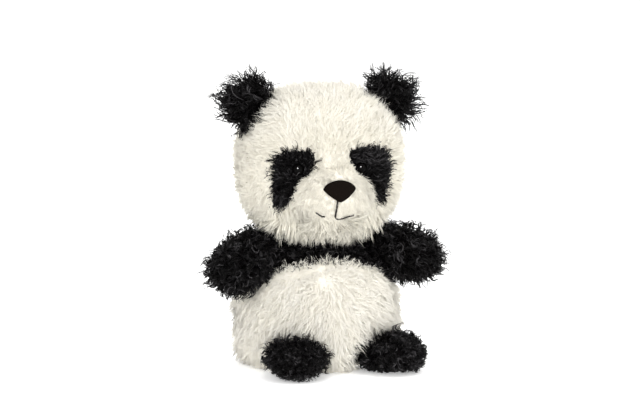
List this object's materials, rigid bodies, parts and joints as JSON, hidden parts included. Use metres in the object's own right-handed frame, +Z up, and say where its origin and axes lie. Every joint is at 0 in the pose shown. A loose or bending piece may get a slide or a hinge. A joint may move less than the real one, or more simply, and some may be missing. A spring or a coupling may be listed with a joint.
{
  "type": "plush panda",
  "caption": "Seated shaggy plush panda with a round belly, black curly ears, arms and feet, eye patches, bead eyes and a padded nose.",
  "frame": {"origin": "centre of the flat base that the toy sits on", "axes": "+Z up, the face and feet point to -Y, the panda's own left side is +X"},
  "size_m": [0.1342, 0.1003, 0.1656],
  "materials": {
    "white_pile": "long cream-white pile",
    "black_pile": "long curly black pile",
    "stuffing": "loose polyester fibre",
    "calico": "plain woven",
    "pellets": "small plastic pellets",
    "eye_plastic": "glossy black",
    "washer_plastic": "satin",
    "nose_cloth": "smooth dark brown, slightly sheeny",
    "dark_thread": "waxed sewing thread",
    "white_thread": "waxed sewing thread"
  },
  "bodies": {
    "torso": {"yoke_front": "black_pile", "yoke_back": "black_pile", "belly_panel": "white_pile", "back_panel_left": "white_pile", "back_panel_right": "white_pile", "base_panel": "white_pile", "torso_stuffing": "stuffing", "bean_pouch_top": "calico", "bean_pouch_base": "calico", "bean_fill": "pellets", "closing_stitch": "white_thread"},
    "neck": {"neck_stuffing": "stuffing", "neck_thread": "dark_thread"},
    "head": {"forehead_gusset": "white_pile", "cheek_left": "white_pile", "cheek_right": "white_pile", "chin_panel": "white_pile", "head_back_left": "white_pile", "head_back_right": "white_pile", "muzzle_panel": "white_pile", "muzzle_stuffing": "stuffing", "head_stuffing": "stuffing", "eye_patch_left": "black_pile", "eye_patch_right": "black_pile", "eye_left": "eye_plastic", "eye_right": "eye_plastic", "eye_washer_left": "washer_plastic", "eye_washer_right": "washer_plastic", "nose_pad": "nose_cloth", "mouth_smile": "dark_thread", "mouth_philtrum": "dark_thread"},
    "shoulder_left": {"shoulder_thread_left": "dark_thread"},
    "arm_left": {"arm_upper_left": "black_pile", "arm_under_left": "black_pile", "arm_stuffing_left": "stuffing"},
    "leg_left": {"leg_top_left": "black_pile", "leg_under_left": "black_pile", "sole_left": "black_pile", "leg_stuffing_left": "stuffing"},
    "ear_left": {"ear_front_left": "black_pile", "ear_back_left": "black_pile", "ear_batting_left": "stuffing"},
    "shoulder_right": {"shoulder_thread_right": "dark_thread"},
    "arm_right": {"arm_upper_right": "black_pile", "arm_under_right": "black_pile", "arm_stuffing_right": "stuffing"},
    "leg_right": {"leg_top_right": "black_pile", "leg_under_right": "black_pile", "sole_right": "black_pile", "leg_stuffing_right": "stuffing"},
    "ear_right": {"ear_front_right": "black_pile", "ear_back_right": "black_pile", "ear_batting_right": "stuffing"}
  },
  "joints": [
    {"name": "neck_turn", "type": "hinge", "parent": "torso", "child": "neck", "pos_m": [0, 0.002, 0.073], "axis": [0, 0, 1], "range_deg": [-30, 30], "stiffness_Nm_per_rad": 0.06},
    {"name": "head_nod", "type": "hinge", "parent": "neck", "child": "head", "pos_m": [0, 0.002, 0.073], "axis": [-1, 0, 0], "range_deg": [-8, 15], "stiffness_Nm_per_rad": 0.6},
    {"name": "arm_swing_left", "type": "hinge", "parent": "torso", "child": "shoulder_left", "pos_m": [0.0355, -0.005, 0.066], "axis": [0, 0, 1], "range_deg": [-11, 25], "stiffness_Nm_per_rad": 0.02},
    {"name": "arm_lift_left", "type": "hinge", "parent": "shoulder_left", "child": "arm_left", "pos_m": [0.0355, -0.005, 0.066], "axis": [-0.6157, -0.788, 0], "range_deg": [-4, 35], "stiffness_Nm_per_rad": 0.05},
    {"name": "leg_lift_left", "type": "hinge", "parent": "torso", "child": "leg_left", "pos_m": [0.0245, -0.0325, 0.0083], "axis": [-0.4695, -0.8829, 0], "range_deg": [0, 11], "stiffness_Nm_per_rad": 0.02},
    {"name": "ear_fold_left", "type": "hinge", "parent": "head", "child": "ear_left", "pos_m": [0.0345, -0.005, 0.145], "axis": [0.6947, 0, -0.7193], "range_deg": [-26, 26], "stiffness_Nm_per_rad": 0.02},
    {"name": "arm_swing_right", "type": "hinge", "parent": "torso", "child": "shoulder_right", "pos_m": [-0.0355, -0.005, 0.066], "axis": [0, 0, -1], "range_deg": [-11, 25], "stiffness_Nm_per_rad": 0.02},
    {"name": "arm_lift_right", "type": "hinge", "parent": "shoulder_right", "child": "arm_right", "pos_m": [-0.0355, -0.005, 0.066], "axis": [-0.6157, 0.788, 0], "range_deg": [-4, 35], "stiffness_Nm_per_rad": 0.05},
    {"name": "leg_lift_right", "type": "hinge", "parent": "torso", "child": "leg_right", "pos_m": [-0.0205, -0.0312, 0.0083], "axis": [-0.9703, 0.2419, 0], "range_deg": [0, 16], "stiffness_Nm_per_rad": 0.02},
    {"name": "ear_fold_right", "type": "hinge", "parent": "head", "child": "ear_right", "pos_m": [-0.0345, -0.005, 0.145], "axis": [0.6947, 0, 0.7193], "range_deg": [-26, 26], "stiffness_Nm_per_rad": 0.02}
  ]
}
